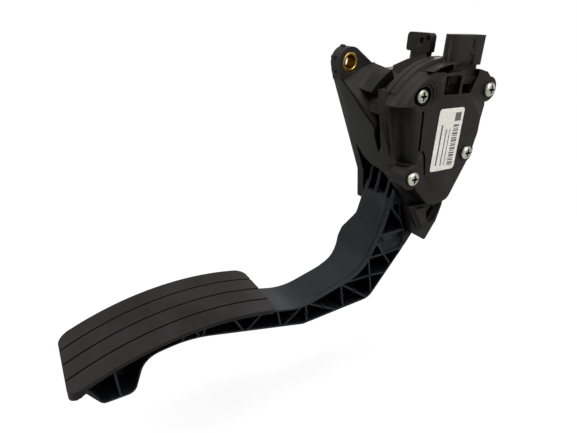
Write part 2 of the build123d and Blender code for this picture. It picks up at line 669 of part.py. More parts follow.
# Pedal arm: ribbed channel section with a skin towards the driver and a wide seat for the pad
with BuildPart() as pedal_arm:
    with BuildSketch(Plane.YZ):
        with BuildLine():
            FilletPolyline(*[(y + shoulder_in, z) for y, z in skin_path], radius=skin_radii)
            offset(amount=arm_wall, side=Side.LEFT)
        make_face()
    extrude(amount=arm_x0 + arm_wall)
    with BuildSketch(Plane.XZ):
        with BuildLine():
            FilletPolyline(*shoulder, radius=shoulder_radii, close=True)
        make_face()
    extrude(amount=100.0, mode=Mode.INTERSECT)
    with BuildSketch(Plane.YZ.offset(arm_x0)):
        with BuildLine():
            belly = FilletPolyline(tip, *underside, rear_top, radius=under_radii)
            FilletPolyline(belly @ 1, *skin_path, heel, radius=[0.5, *skin_radii, 40.0])
            ThreePointArc(heel, seat_point(seat_r, pad_cy), tip)
        make_face()
    extrude(amount=arm_x1 - arm_x0)
    # Channels on both sides of the web, then the ribs that cross them
    for side_x0, side_x1 in ((arm_x0, web_x0), (web_x1, arm_x1)):
        with BuildSketch(Plane.YZ.offset(side_x0)):
            with BuildLine():
                FilletPolyline(*channel, radius=channel_radii, close=True)
            make_face()
            offset(amount=-arm_wall)
            for a, b in near_ribs:
                with Locations(((a[0] + b[0]) / 2, (a[1] + b[1]) / 2)):
                    tilt = math.degrees(math.atan2(b[1] - a[1], b[0] - a[0]))
                    Rectangle(math.dist(a, b) + rib_t, rib_t, rotation=tilt, mode=Mode.SUBTRACT)
        extrude(amount=side_x1 - side_x0, mode=Mode.SUBTRACT)
        with BuildSketch(Plane.YZ.offset(side_x0)):
            with BuildLine():
                FilletPolyline(*foot_pocket, radius=1.5, close=True)
            make_face()
            with Locations(foot_mid):
                Rectangle(rib_t, foot_h, mode=Mode.SUBTRACT)
        extrude(amount=side_x1 - side_x0, mode=Mode.SUBTRACT)
    # Filled panel between the ribs with an ejector mark, and the lug behind it
    prism(web_x1, arm_x1 - panel_drop, panel)
    disc(arm_x1 - panel_drop - rib_t, arm_x1 - panel_drop, panel_mark, panel_mark_r, mode=Mode.SUBTRACT)
    prism(arm_x1 - lug_w, arm_x1, lug)
    # Line that sets off the bead along the near edge of the skin
    with BuildSketch(Plane.YZ.offset(arm_x1 - bead_w)) as line:
        with BuildLine():
            FilletPolyline(*skin_path, radius=skin_radii)
            offset(amount=bead_deep, side=Side.LEFT)
        make_face()
    extrude(line.sketch, amount=-bead_line, mode=Mode.SUBTRACT)
    # Seat plate under the pad
    arc_strip(seat_x0, seat_x1, seat_r - plate_t, seat_r, pad_heel - 2.0, pad_tip + pad_rim)
    # Neck with fins towards the front, cut back round the springs
    prism(hub_x0, hub_x1, neck_line)
    for slot_x0, slot_x1 in ((hub_x0 + fin_t, web_x0), (web_x1, fin_x), (fin_x + fin_t, hub_x1 - fin_t)):
        prism(slot_x0, slot_x1, fin_slot, mode=Mode.SUBTRACT)
    prism(fin_x + fin_t, hub_x1, near_slot, mode=Mode.SUBTRACT)
    disc(hub_x0, hub_x0 + relief_w, pivot, relief_r, mode=Mode.SUBTRACT)
    disc(hub_x1 - relief_w, hub_x1, pivot, relief_r, mode=Mode.SUBTRACT)
    disc(hub_x0, hub_x1, pivot, hub_r)
    disc(hub_x0, hub_x1, pivot, shaft_r, mode=Mode.SUBTRACT)
pedal_arm.part.label = "pedal_arm"
export_step(pedal_arm.part, "parts/pedal_arm.step")

# Pedal pad: rubber tread with long grooves and a lip round the seat plate
with BuildPart() as pedal_pad:
    arc_strip(pad_x0, pad_x1, seat_r - pad_lip, seat_r + pad_t, pad_heel, pad_tip)
    with BuildSketch(Plane.XY.offset(seat_apex_z + pad_t)):
        with Locations(((pad_x0 + pad_x1) / 2, (pad_heel + pad_tip) / 2)):
            RectangleRounded(pad_x1 - pad_x0, pad_heel - pad_tip, pad_corner)
    extrude(amount=-seat_r / 2, mode=Mode.INTERSECT)
    arc_strip(seat_x0 - lip_play, seat_x1 + lip_play, seat_r - 2 * pad_lip, seat_r,
              pad_heel + 1.0, pad_tip + pad_rim - lip_play, mode=Mode.SUBTRACT)
    for i in (-1, 0, 1):
        groove_x = (pad_x0 + pad_x1) / 2 + i * (pad_x1 - pad_x0) / 4
        groove_low = seat_r + pad_t - groove_d
        arc_strip(groove_x - groove_w / 2, groove_x + groove_w / 2, groove_low, groove_low + 2 * groove_d,
                  pad_heel - groove_in, pad_tip + groove_in, mode=Mode.SUBTRACT)
pedal_pad.part.label = "pedal_pad"
export_step(pedal_pad.part, "parts/pedal_pad.step")

# Pivot shaft: pressed into the hub, turning in both bushes
carrier_x = part_x + bush_proud + carrier_gap
with BuildPart() as pivot_shaft:
    disc(bush_floor + end_gap, carrier_x + carrier_t, pivot, shaft_r)
pivot_shaft.part.label = "pivot_shaft"
export_step(pivot_shaft.part, "parts/pivot_shaft.step")

# Rotor carrier: disc on the end of the shaft
with BuildPart() as rotor_carrier:
    with BuildSketch(Plane.YZ.offset(carrier_x)):
        RegularPolygon(carrier_r, rotor_sides)
        Circle(shaft_r, mode=Mode.SUBTRACT)
    extrude(amount=carrier_t)
rotor_carrier.part.label = "rotor_carrier"
export_step(rotor_carrier.part, "parts/rotor_carrier.step")

# Rotor: three copper vanes that pass in front of the circuit board
with BuildPart() as rotor:
    with BuildSketch(Plane.YZ.offset(carrier_x + carrier_t)):
        RegularPolygon(rotor_r, rotor_sides)
        RegularPolygon(rotor_in, rotor_sides, mode=Mode.SUBTRACT)
        with PolarLocations(rotor_r, 3):
            Rectangle(rotor_in, 8.0, mode=Mode.SUBTRACT)
    extrude(amount=rotor_t)
rotor.part.label = "rotor"
export_step(rotor.part, "parts/rotor.step")


def spring_path(leg_x, step):
    """Wire centre of a leg spring as (point, direction), from the fixed leg to the moving leg."""
    path = [((leg_x, coil_r, leg_up), (0, 0, -1))]
    count = coil_turns * coil_stations
    for i in range(count + 1):
        angle = -2 * math.pi * i / coil_stations
        along = leg_x + step * coil_pitch * i / coil_stations
        spot = (along, coil_r * math.cos(angle), coil_r * math.sin(angle))
        path.append((spot, (0, math.sin(angle), -math.cos(angle))))
    path.append(((leg_x + step * coil_pitch * coil_turns, coil_r, -leg_down), (0, 0, -1)))
    return path


# Left return spring: fixed leg on the housing peg, moving leg behind the arm
with BuildPart() as left_return_spring:
    for spot, way in spring_path(far_leg_x, 1):
        with BuildSketch(Plane(origin=spot, x_dir=(1, 0, 0), z_dir=way)):
            RegularPolygon(wire_r, 6)
    loft(ruled=True)
left_return_spring.part.label = "left_return_spring"
export_step(left_return_spring.part, "parts/left_return_spring.step")

# Right return spring: mirrored on the near side of the hub
with BuildPart() as right_return_spring:
    for spot, way in spring_path(near_leg_x, -1):
        with BuildSketch(Plane(origin=spot, x_dir=(1, 0, 0), z_dir=way)):
            RegularPolygon(wire_r, 6)
    loft(ruled=True)
right_return_spring.part.label = "right_return_spring"
export_step(right_return_spring.part, "parts/right_return_spring.step")
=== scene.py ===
import json
import math

import bmesh
import bpy
from mathutils import Matrix, Vector


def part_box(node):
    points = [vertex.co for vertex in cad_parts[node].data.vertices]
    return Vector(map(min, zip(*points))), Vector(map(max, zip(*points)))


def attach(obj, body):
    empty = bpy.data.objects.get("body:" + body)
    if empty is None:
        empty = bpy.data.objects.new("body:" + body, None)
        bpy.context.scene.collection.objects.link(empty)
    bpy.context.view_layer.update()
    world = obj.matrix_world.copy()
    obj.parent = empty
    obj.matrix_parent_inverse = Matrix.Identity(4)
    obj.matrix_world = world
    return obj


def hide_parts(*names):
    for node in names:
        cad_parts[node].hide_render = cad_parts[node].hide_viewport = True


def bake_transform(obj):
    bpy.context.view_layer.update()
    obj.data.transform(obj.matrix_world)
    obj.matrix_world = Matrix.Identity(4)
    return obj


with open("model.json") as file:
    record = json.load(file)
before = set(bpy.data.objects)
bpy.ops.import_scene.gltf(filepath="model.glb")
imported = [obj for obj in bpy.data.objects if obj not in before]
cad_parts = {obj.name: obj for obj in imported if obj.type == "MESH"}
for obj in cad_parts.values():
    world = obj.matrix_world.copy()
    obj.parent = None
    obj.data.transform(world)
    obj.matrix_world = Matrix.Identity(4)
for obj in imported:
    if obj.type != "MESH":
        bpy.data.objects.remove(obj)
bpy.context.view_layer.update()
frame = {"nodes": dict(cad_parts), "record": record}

# Housing: one moulding of black glass-filled nylon. It carries the pivot, the mounting ears
# and the near wall that the sensor cover is screwed to. Its edges leave the mould slightly
# rounded.
# Corners of the CAD triangles that lie closer than the weld are one corner, and an edge that
# bends by more than the sharp angle stays sharp.
weld = 2e-6
sharp_angle = math.radians(24)


def linear(code):
    """Linear colour of an sRGB hex code."""
    parts = [int(code[i:i + 2], 16) / 255 for i in (1, 3, 5)]
    return [c / 12.92 if c < 0.04045 else ((c + 0.055) / 1.055) ** 2.4 for c in parts] + [1.0]


def add(tree, kind, inputs=(), **settings):
    """Node of that kind in a tree, with its settings, its values and its links."""
    node = tree.nodes.new(kind)
    for name, value in settings.items():
        setattr(node, name, value)
    for name, value in dict(inputs).items():
        if isinstance(value, bpy.types.NodeSocket):
            tree.links.new(value, node.inputs[name])
        else:
            node.inputs[name].default_value = value
    return node


def moulded(name, dark, pale, edge_wear_and_highlight, roughness, shine, patch_mm, grain_mm, depth_mm, edge_mm):
    """Moulded plastic or rubber: soft patches, specks of grain, edges painted paler as wear and highlight,
    and painted shade in hollows.
    """
    painted_shade_reach_mm = 16
    gloss_play = 0.06
    material = bpy.data.materials.new(name)
    material.use_nodes = True
    tree = material.node_tree
    surface = tree.nodes["Principled BSDF"]
    surface.inputs["Specular IOR Level"].default_value = shine
    place = add(tree, "ShaderNodeTexCoord").outputs["Object"]
    patches = add(tree, "ShaderNodeTexNoise",
                  {"Vector": place, "Scale": 1000 / patch_mm, "Detail": 4.0})
    tone = add(tree, "ShaderNodeMapRange",
               {"Value": patches.outputs["Fac"], "From Min": 0.35, "From Max": 0.68})
    skin = add(tree, "ShaderNodeMix",
               {"Factor": tone.outputs["Result"], "A": linear(dark), "B": linear(pale)}, data_type="RGBA")
    # Edges are painted paler, both as wear and as a painted highlight where the rounded edge turns.
    rounded = add(tree, "ShaderNodeBevel", {"Radius": edge_mm / 1000}, samples=6)
    facing = add(tree, "ShaderNodeNewGeometry")
    bend = add(tree, "ShaderNodeVectorMath",
               {0: rounded.outputs["Normal"], 1: facing.outputs["Normal"]}, operation="DOT_PRODUCT")
    edge = add(tree, "ShaderNodeMapRange",
               {"Value": bend.outputs["Value"], "From Min": 0.99, "From Max": 0.8, "To Max": 0.6})
    colour = add(tree, "ShaderNodeMix",
                 {"Factor": edge.outputs["Result"], "A": skin.outputs["Result"], "B": linear(edge_wear_and_highlight)},
                 data_type="RGBA")
    # Painted shade: hollows, creases and corners are darkened in the base colour by ambient occlusion.
    hollow = add(tree, "ShaderNodeAmbientOcclusion", {"Distance": painted_shade_reach_mm / 1000}, samples=8)
    painted_shade = add(tree, "ShaderNodeMapRange",
                {"Value": hollow.outputs["AO"], "From Min": 0.25, "From Max": 0.9, "To Min": 0.06})
    grain = add(tree, "ShaderNodeTexNoise",
                {"Vector": place, "Scale": 1000 / grain_mm, "Detail": 2.0})
    speck = add(tree, "ShaderNodeMapRange",
                {"Value": grain.outputs["Fac"], "From Min": 0.3, "From Max": 0.7,
                 "To Min": 0.8, "To Max": 1.2})
    share = add(tree, "ShaderNodeMath",
                {0: painted_shade.outputs["Result"], 1: speck.outputs["Result"]}, operation="MULTIPLY")
    shaded = add(tree, "ShaderNodeMix",
                 {"Factor": 1.0, "A": colour.outputs["Result"], "B": share.outputs["Value"]},
                 data_type="RGBA", blend_type="MULTIPLY")
    tree.links.new(shaded.outputs["Result"], surface.inputs["Base Color"])
    gloss = add(tree, "ShaderNodeMapRange",
                {"Value": patches.outputs["Fac"], "To Min": roughness + gloss_play,
                 "To Max": roughness - gloss_play})
    tree.links.new(gloss.outputs["Result"], surface.inputs["Roughness"])
    bump = add(tree, "ShaderNodeBump",
               {"Height": grain.outputs["Fac"], "Strength": 1.0, "Distance": depth_mm / 1000,
                "Normal": rounded.outputs["Normal"]})
    tree.links.new(bump.outputs["Normal"], surface.inputs["Normal"])
    return material


def carve(piece, hollows):
    """Cut hollows out of a piece, each an outline of points and the way it is swept."""
    for outline, way in hollows:
        cutter = bmesh.new()
        near = [cutter.verts.new(point) for point in outline]
        far = [cutter.verts.new(Vector(point) + Vector(way)) for point in outline]
        cutter.faces.new(near)
        cutter.faces.new(far)
        for i in range(len(outline)):
            cutter.faces.new((near[i - 1], near[i], far[i], far[i - 1]))
        bmesh.ops.recalc_face_normals(cutter, faces=cutter.faces)
        cutter_mesh = bpy.data.meshes.new("cutter")
        cutter.to_mesh(cutter_mesh)
        cutter.free()
        tool = bpy.data.objects.new("cutter", cutter_mesh)
        bpy.context.collection.objects.link(tool)
        cut = piece.modifiers.new("cut", "BOOLEAN")
        cut.operation = "DIFFERENCE"
        cut.object = tool
        cut.solver = "EXACT"
        carved = bpy.data.meshes.new_from_object(piece.evaluated_get(bpy.context.evaluated_depsgraph_get()))
        piece.modifiers.remove(cut)
        bpy.data.objects.remove(tool)
        carved.name = piece.name
        piece.data = carved


def dressed(node, name, body, material, hollows):
    """Merged and carved copy of a CAD solid with smooth curves, standing in for it on its body."""
    mesh = bpy.data.meshes.new(name)
    copy = bmesh.new()
    copy.from_mesh(frame["nodes"][node].data)
    bmesh.ops.remove_doubles(copy, verts=copy.verts, dist=weld)
    copy.to_mesh(mesh)
    copy.free()
    piece = bpy.data.objects.new(name, mesh)
    bpy.context.collection.objects.link(piece)
    carve(piece, hollows)
    piece.data.materials.clear()
    piece.data.materials.append(material)
    piece.data.shade_smooth()
    piece.data.set_sharp_from_angle(angle=sharp_angle)
    level = piece.modifiers.new("level_faces", "WEIGHTED_NORMAL")
    level.mode = "FACE_AREA_WITH_ANGLE"
    level.keep_sharp = True
    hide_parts(node)
    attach(piece, body)
    return piece


# Glass-filled nylon from a spark-eroded mould: a satin black with soft greyer patches, a fine
# grain drawn at 0.8 mm so that it shows, and edges painted paler, as wear and as a painted highlight.
nylon = moulded("glass_filled_nylon", dark="#1c1b1a", pale="#262423", edge_wear_and_highlight="#403d3a", roughness=0.5,
                shine=0.07, patch_mm=24, grain_mm=0.8, depth_mm=0.02, edge_mm=0.7)
# Blind dimple beside the hole of the tab.
tab_y = -0.002
dimple_x = 0.0256
dimple_z = 0.0508
dimple_r = 0.0018
dimple_deep = 0.0012
dimple_points = 20
dimple = []
for i in range(dimple_points):
    angle = 2 * math.pi * i / dimple_points
    dimple.append((dimple_x + dimple_r * math.cos(angle), tab_y - dimple_deep,
                   dimple_z + dimple_r * math.sin(angle)))
hollows = [(dimple, (0, 2 * dimple_deep, 0))]
# Parting groove behind the rim of the cover, between two circles about the pivot, in degrees.
parting_x = 0.0392
parting_w = 0.001
parting_low_r = 0.0426
parting_high_r = 0.046
parting_angles = range(93, 152)
parting = []
for radius, angles in ((parting_high_r, parting_angles), (parting_low_r, parting_angles[::-1])):
    for degree in angles:
        angle = math.radians(degree)
        parting.append((parting_x, radius * math.cos(angle), radius * math.sin(angle)))
hollows.append((parting, (parting_w, 0, 0)))
# Deep slot in the trench of the tongue, as (Y, Z) in millimetres.
slot_x = 0.0365
slot_reach = 0.012
slot = [(8.2, -43.4), (11.4, -45.4), (6.9, -52.8), (2.9, -50.6)]
hollows.append(([(slot_x, y / 1000, z / 1000) for y, z in slot], (slot_reach, 0, 0)))
# Crease down the slope of the hood, just inside the edge where it meets the front wall. It runs
# out past both ends of that edge. Its sizes and places are in millimetres.
slope_way = Vector((0.796, -0.238, 0.557))
hood_top = Vector((8.0, -41.88, 28.62))
hood_foot = Vector((27.0, -31.91, 5.73))
crease_in = 0.4
crease_w = 0.6
crease_deep = 0.7
crease_proud = 1
crease_past = 1.2
down = (hood_foot - hood_top).normalized()
inside = slope_way.cross(down)
crease = []
section = [(0, crease_proud), (crease_w, crease_proud), (crease_w, -crease_deep), (0, -crease_deep)]
for across, rise in section:
    corner = hood_top - down * crease_past + inside * (crease_in + across) + slope_way * rise
    crease.append(corner / 1000)
hollows.append((crease, (hood_foot - hood_top + 2 * down * crease_past) / 1000))
housing = dressed("housing", "housing_shell", "housing", nylon, hollows)
# Collar that joins the hood to the drum: a section that leaves the slope of the hood in a hollow
# curve and ends square, short of the near wall. It is turned about the pivot, in degrees.
slope_point = Vector((0.008, -0.0424, 0.0284))
collar_end = 0.022
collar_low_r = 0.033
collar_r = 0.040
collar_angles = range(117, 144, 2)
blend_up = 0.003
blend_out = 0.006
blend_steps = 6
shell = bmesh.new()
shell.from_mesh(housing.data)
rows = []
for degree in collar_angles:
    outward = Vector((0, math.cos(math.radians(degree)), math.sin(math.radians(degree))))
    foot_x = slope_way.dot(slope_point - outward * collar_r) / slope_way.x
    start_x = slope_way.dot(slope_point - outward * (collar_r + blend_up)) / slope_way.x
    section = []
    for i in range(blend_steps + 1):
        part = i / blend_steps
        bend_x = (1 - part) ** 2 * start_x + 2 * part * (1 - part) * foot_x + part ** 2 * (foot_x + blend_out)
        section.append((bend_x, collar_r + (1 - part) ** 2 * blend_up))
    section += [(collar_end, collar_r), (collar_end, collar_low_r), (start_x, collar_low_r)]
    rows.append([shell.verts.new(outward * radius + Vector((x, 0, 0))) for x, radius in section])
collar_ends = [shell.faces.new(rows[0]), shell.faces.new(rows[-1])]
collar_sides = []
for low, high in zip(rows, rows[1:]):
    for i in range(len(low)):
        collar_sides.append(shell.faces.new((low[i - 1], low[i], high[i], high[i - 1])))
bmesh.ops.recalc_face_normals(shell, faces=collar_ends + collar_sides)
for face in collar_sides:
    face.smooth = True
    for edge in face.edges:
        edge.smooth = edge.calc_face_angle() < sharp_angle
shell.to_mesh(housing.data)
shell.free()


def node_tree(name, sizes):
    """Empty node tree with a geometry, a finish and the named sizes as inputs."""
    tree = bpy.data.node_groups.new(name, "GeometryNodeTree")
    tree.interface.new_socket("Geometry", in_out="INPUT", socket_type="NodeSocketGeometry")
    tree.interface.new_socket("Finish", in_out="INPUT", socket_type="NodeSocketMaterial")
    for size in sizes:
        tree.interface.new_socket(size, in_out="INPUT", socket_type="NodeSocketFloat")
    tree.interface.new_socket("Geometry", in_out="OUTPUT", socket_type="NodeSocketGeometry")
    return tree, add(tree, "NodeGroupInput").outputs


def shaped(name, tree, shape, points, edges, finish, sizes):
    """Plain mesh that a node tree makes on points and edges, ending in the given shape."""
    fine_weld = 1e-6
    round_angle = math.radians(35)
    solid = add(tree, "GeometryNodeRealizeInstances", {"Geometry": shape})
    painted = add(tree, "GeometryNodeSetMaterial",
                  {"Geometry": solid.outputs["Geometry"],
                   "Material": tree.nodes["Group Input"].outputs["Finish"]})
    add(tree, "NodeGroupOutput", {"Geometry": painted.outputs["Geometry"]})
    frame_mesh = bpy.data.meshes.new(name + "_points")
    frame_mesh.from_pydata(points, edges, [])
    carrier = bpy.data.objects.new(name + "_points", frame_mesh)
    bpy.context.collection.objects.link(carrier)
    modifier = carrier.modifiers.new("shape", "NODES")
    modifier.node_group = tree
    for item in tree.interface.items_tree:
        if item.in_out == "INPUT" and item.name in sizes:
            modifier[item.identifier] = sizes[item.name]
        if item.in_out == "INPUT" and item.name == "Finish":
            modifier[item.identifier] = finish
    mesh = bpy.data.meshes.new_from_object(carrier.evaluated_get(bpy.context.evaluated_depsgraph_get()))
    carrier.modifiers.remove(modifier)
    bpy.data.objects.remove(carrier)
    clean = bmesh.new()
    clean.from_mesh(mesh)
    bmesh.ops.remove_doubles(clean, verts=clean.verts, dist=fine_weld)
    bmesh.ops.recalc_face_normals(clean, faces=clean.faces)
    clean.to_mesh(mesh)
    clean.free()
    mesh.shade_smooth()
    mesh.set_sharp_from_angle(angle=round_angle)
    mesh.name = name
    piece = bpy.data.objects.new(name, mesh)
    bpy.context.collection.objects.link(piece)
    return piece


def pegs(name, points, radius, length, sides, finish):
    """Round pegs along X, one on each point."""
    tree, sizes = node_tree(name, ["Radius", "Length"])
    peg = add(tree, "GeometryNodeMeshCylinder",
              {"Vertices": sides, "Radius": sizes["Radius"], "Depth": sizes["Length"]})
    row = add(tree, "GeometryNodeInstanceOnPoints",
              {"Points": sizes["Geometry"], "Instance": peg.outputs["Mesh"], "Rotation": along_x})
    return shaped(name, tree, row.outputs["Instances"], points, [], finish,
                  {"Radius": radius, "Length": length})


def join(piece, extra):
    """Take the mesh of an extra piece into a piece, and remove the extra."""
    both = bmesh.new()
    both.from_mesh(piece.data)
    both.from_mesh(extra.data)
    both.to_mesh(piece.data)
    both.free()
    bpy.data.objects.remove(extra)


# Three small nubs on the rim of the front ear, where the runners of the mould were cut off.
along_x = (0.0, math.pi / 2, 0.0)
nub_r = 0.0011
nub_l = 0.0026
nub_sides = 12
nub_spots = [(-0.0449, 0.0410), (-0.0432, 0.0332), (-0.0391, 0.0464)]
join(housing, pegs("nubs", [(nub_l, y, z) for y, z in nub_spots], nub_r, nub_l, nub_sides, nylon))


# Mounting sleeves: turned brass tubes pressed into the ears, so that the bolts clamp metal.
# Their rims are broken with a small round. The record's mounts give bore, length and places.
def metal(name, dark, pale, roughness, patch_mm, line_mm, depth_mm, painted_shade_reach_mm=6):
    """Metal in two close tones, with shade painted into its hollows, and fine lines that run round the X
    axis.
    """
    smoother = 0.08
    rougher = 0.1
    line_stretch = (1.0, 0.08, 0.08)
    material = bpy.data.materials.new(name)
    material.use_nodes = True
    tree = material.node_tree
    surface = tree.nodes["Principled BSDF"]
    surface.inputs["Metallic"].default_value = 1.0
    place = add(tree, "ShaderNodeTexCoord").outputs["Object"]
    patches = add(tree, "ShaderNodeTexNoise",
                  {"Vector": place, "Scale": 1000 / patch_mm, "Detail": 3.0})
    tone = add(tree, "ShaderNodeMapRange",
               {"Value": patches.outputs["Fac"], "From Min": 0.35, "From Max": 0.65})
    colour = add(tree, "ShaderNodeMix",
                 {"Factor": tone.outputs["Result"], "A": linear(dark), "B": linear(pale)}, data_type="RGBA")
    # Painted shade: hollows are darkened in the base colour by ambient occlusion.
    hollow = add(tree, "ShaderNodeAmbientOcclusion", {"Distance": painted_shade_reach_mm / 1000}, samples=8)
    painted_shade = add(tree, "ShaderNodeMapRange",
                {"Value": hollow.outputs["AO"], "From Min": 0.5, "From Max": 0.97, "To Min": 0.1})
    shaded = add(tree, "ShaderNodeMix",
                 {"Factor": 1.0, "A": colour.outputs["Result"], "B": painted_shade.outputs["Result"]},
                 data_type="RGBA", blend_type="MULTIPLY")
    tree.links.new(shaded.outputs["Result"], surface.inputs["Base Color"])
    gloss = add(tree, "ShaderNodeMapRange",
                {"Value": patches.outputs["Fac"], "To Min": roughness - smoother,
                 "To Max": roughness + rougher})
    tree.links.new(gloss.outputs["Result"], surface.inputs["Roughness"])
    along = add(tree, "ShaderNodeMapping", {"Vector": place, "Scale": line_stretch})
    lines = add(tree, "ShaderNodeTexNoise", {"Vector": along.outputs["Vector"], "Scale": 1000 / line_mm})
    bump = add(tree, "ShaderNodeBump",
               {"Height": lines.outputs["Fac"], "Strength": 1.0, "Distance": depth_mm / 1000})
    tree.links.new(bump.outputs["Normal"], surface.inputs["Normal"])
    return material


bores = [mount for mount in frame["record"]["mounts"] if mount["kind"] == "bore"]
sleeve_bore_r = bores[0]["dims"]["r_mm"] / 1000
sleeve_l = bores[0]["dims"]["length_mm"] / 1000
sleeve_wall = 0.0019
sleeve_round = 0.0005
tree, sizes = node_tree("sleeves", ["Middle radius", "Wall", "Length", "Round"])
ring = add(tree, "GeometryNodeCurvePrimitiveCircle", {"Resolution": 72, "Radius": sizes["Middle radius"]})
section = add(tree, "GeometryNodeCurvePrimitiveQuadrilateral",
              {"Width": sizes["Wall"], "Height": sizes["Length"]})
eased = add(tree, "GeometryNodeFilletCurve",
            {"Curve": section.outputs["Curve"], "Count": 4, "Radius": sizes["Round"]}, mode="POLY")
tube = add(tree, "GeometryNodeCurveToMesh",
           {"Curve": ring.outputs["Curve"], "Profile Curve": eased.outputs["Curve"]})
row = add(tree, "GeometryNodeInstanceOnPoints",
          {"Points": sizes["Geometry"], "Instance": tube.outputs["Mesh"], "Rotation": along_x})
# Turned brass: a warm yellow, a little dulled by handling, with turning lines drawn at 0.35 mm so
# that they show. Seen at a flat angle it stays golden, and shade painted deep into the bore makes the bore a
# deep gold.
brass = metal("turned_brass", dark="#94702a", pale="#c8a552", roughness=0.28, patch_mm=4, line_mm=0.35,
              depth_mm=0.01, painted_shade_reach_mm=10)
brass.node_tree.nodes["Principled BSDF"].inputs["Specular Tint"].default_value = linear("#b07c1e")
sleeves = shaped("sleeves", tree, row.outputs["Instances"], [mount["pos_m"] for mount in bores], [], brass,
                 {"Middle radius": sleeve_bore_r + sleeve_wall / 2, "Wall": sleeve_wall,
                  "Length": sleeve_l, "Round": sleeve_round})
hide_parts("mounting_sleeves")
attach(sleeves, "housing")


# Bushes: plain bearings of natural acetal, pressed into the flange and the near wall.
# They are hidden once the pedal is together.
def finish(node, material):
    """Give a CAD solid that keeps its own shape its material."""
    materials = frame["nodes"][node].data.materials
    materials.clear()
    materials.append(material)


# Natural acetal: a milky white with a waxy gloss.
acetal = moulded("natural_acetal", dark="#cdcbc2", pale="#dbd9d1", edge_wear_and_highlight="#e6e4dd", roughness=0.38,
                 shine=0.5, patch_mm=12, grain_mm=0.6, depth_mm=0.01, edge_mm=0.2)
finish("left_bush", acetal)
finish("right_bush", acetal)

# Friction washers: pressed discs of friction compound that give the pedal its drag, one on
# each side of the hub.
# Friction compound: a dry brown with coarse flecks.
compound = moulded("friction_compound", dark="#43392a", pale="#5d5039", edge_wear_and_highlight="#6b5e46", roughness=0.75,
                   shine=0.3, patch_mm=2.5, grain_mm=0.5, depth_mm=0.03, edge_mm=0.15)
finish("left_friction_washer", compound)
finish("right_friction_washer", compound)

# Stops: rubber blocks glued to the housing, one in front of the neck for idle and one behind
# it for full travel.
# Stop rubber: a dull black with a dusty bloom.
stop_rubber = moulded("stop_rubber", dark="#161616", pale="#222222", edge_wear_and_highlight="#2c2c2c", roughness=0.75,
                      shine=0.25, patch_mm=6, grain_mm=0.5, depth_mm=0.02, edge_mm=0.4)
finish("idle_stop", stop_rubber)
finish("full_travel_stop", stop_rubber)

# Return springs: two leg springs of drawn wire, wound round the hub. One leg of each rests on
# a peg of the housing and the other pushes the arm back, so the coils twist with the pedal.
wire_r = 0.001
coil_r = 0.0135
coil_pitch = 0.0021
coil_turns = 3
coil_stations = 28
leg_up = 0.025
leg_down = 0.030
# Drawn spring steel: a grey metal with fine lines along the wire and darker oiled patches.
spring_steel = metal("drawn_spring_steel", dark="#77787a", pale="#9c9da0", roughness=0.34, patch_mm=3,
                     line_mm=0.5, depth_mm=0.006)
for name, leg_x, way in (("left_return_spring", 0.01135, 1), ("right_return_spring", 0.03265, -1)):
    path = [(leg_x, coil_r, leg_up)]
    for i in range(coil_turns * coil_stations + 1):
        angle = -2 * math.pi * i / coil_stations
        along = leg_x + way * coil_pitch * i / coil_stations
        path.append((along, coil_r * math.cos(angle), coil_r * math.sin(angle)))
    end_x = leg_x + way * coil_pitch * coil_turns
    path.append((end_x, coil_r, -leg_down))
    tree, sizes = node_tree(name, ["Wire radius"])
    line = add(tree, "GeometryNodeMeshToCurve", {"Mesh": sizes["Geometry"]})
    round_wire = add(tree, "GeometryNodeCurvePrimitiveCircle",
                     {"Resolution": 12, "Radius": sizes["Wire radius"]})
    wire = add(tree, "GeometryNodeCurveToMesh",
               {"Curve": line.outputs["Curve"], "Profile Curve": round_wire.outputs["Curve"],
                "Fill Caps": True})
    steps = [(i, i + 1) for i in range(len(path) - 1)]
    spring = shaped(name + "_wire", tree, wire.outputs["Mesh"], path, steps, spring_steel,
                    {"Wire radius": wire_r})
    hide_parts(name)
    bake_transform(spring)


# Pedal arm: a ribbed moulding of glass-filled nylon that swings on the shaft. Its smooth skin
# faces the driver, and its open side shows the ribs.
def inner_outline(node, x, wall):
    """Outline of a CAD solid's section at x, moved inwards by a wall, as (Y, Z)."""
    shortest = 0.0004
    cut = bmesh.new()
    cut.from_mesh(frame["nodes"][node].data)
    bmesh.ops.remove_doubles(cut, verts=cut.verts, dist=weld)
    bmesh.ops.bisect_plane(cut, geom=cut.verts[:] + cut.edges[:] + cut.faces[:], plane_co=(x, 0, 0),
                           plane_no=(1, 0, 0), clear_inner=True, clear_outer=True)
    bmesh.ops.remove_doubles(cut, verts=cut.verts, dist=shortest)
    start = min(cut.verts, key=lambda vert: vert.co.y)
    outline, last, here = [], None, start
    while here is not start or not outline:
        outline.append(here.co.yz)
        ahead = [edge.other_vert(here) for edge in here.link_edges if edge.other_vert(here) is not last]
        last, here = here, ahead[0]
    cut.free()
    turn = sum(a.cross(b) for a, b in zip(outline, outline[1:] + outline[:1]))
    inner = []
    for before, spot, after in zip(outline[-1:] + outline[:-1], outline, outline[1:] + outline[:1]):
        along = (spot - before).normalized() + (after - spot).normalized()
        inner.append(spot + Vector((-along.y, along.x)).normalized() * math.copysign(wall, turn))
    return inner


# Glass-filled nylon again: a satin black a touch bluer than the housing, with the same grain drawn
# at 0.8 mm so that it shows.
arm_nylon = moulded("arm_nylon", dark="#191a1c", pale="#212226", edge_wear_and_highlight="#3f4046", roughness=0.48, shine=0.08,
                    patch_mm=30, grain_mm=0.8, depth_mm=0.02, edge_mm=0.6)
# The near side is hollow down to thin walls, from the panel under the neck to the foot. The hollow
# follows the outline of the arm's own section.
near_x = 0.0346
near_wall = 0.001
near_reach = 0.02
web_x = 0.0202
panel_x = 0.0329
panel_low = -0.0766
foot_end = -0.1995
walls = inner_outline("pedal_arm", near_x, near_wall)
hollow = [(web_x, y, z) for y, z in walls if z < panel_low and y > foot_end]
hollows = [(hollow, (near_reach, 0, 0))]
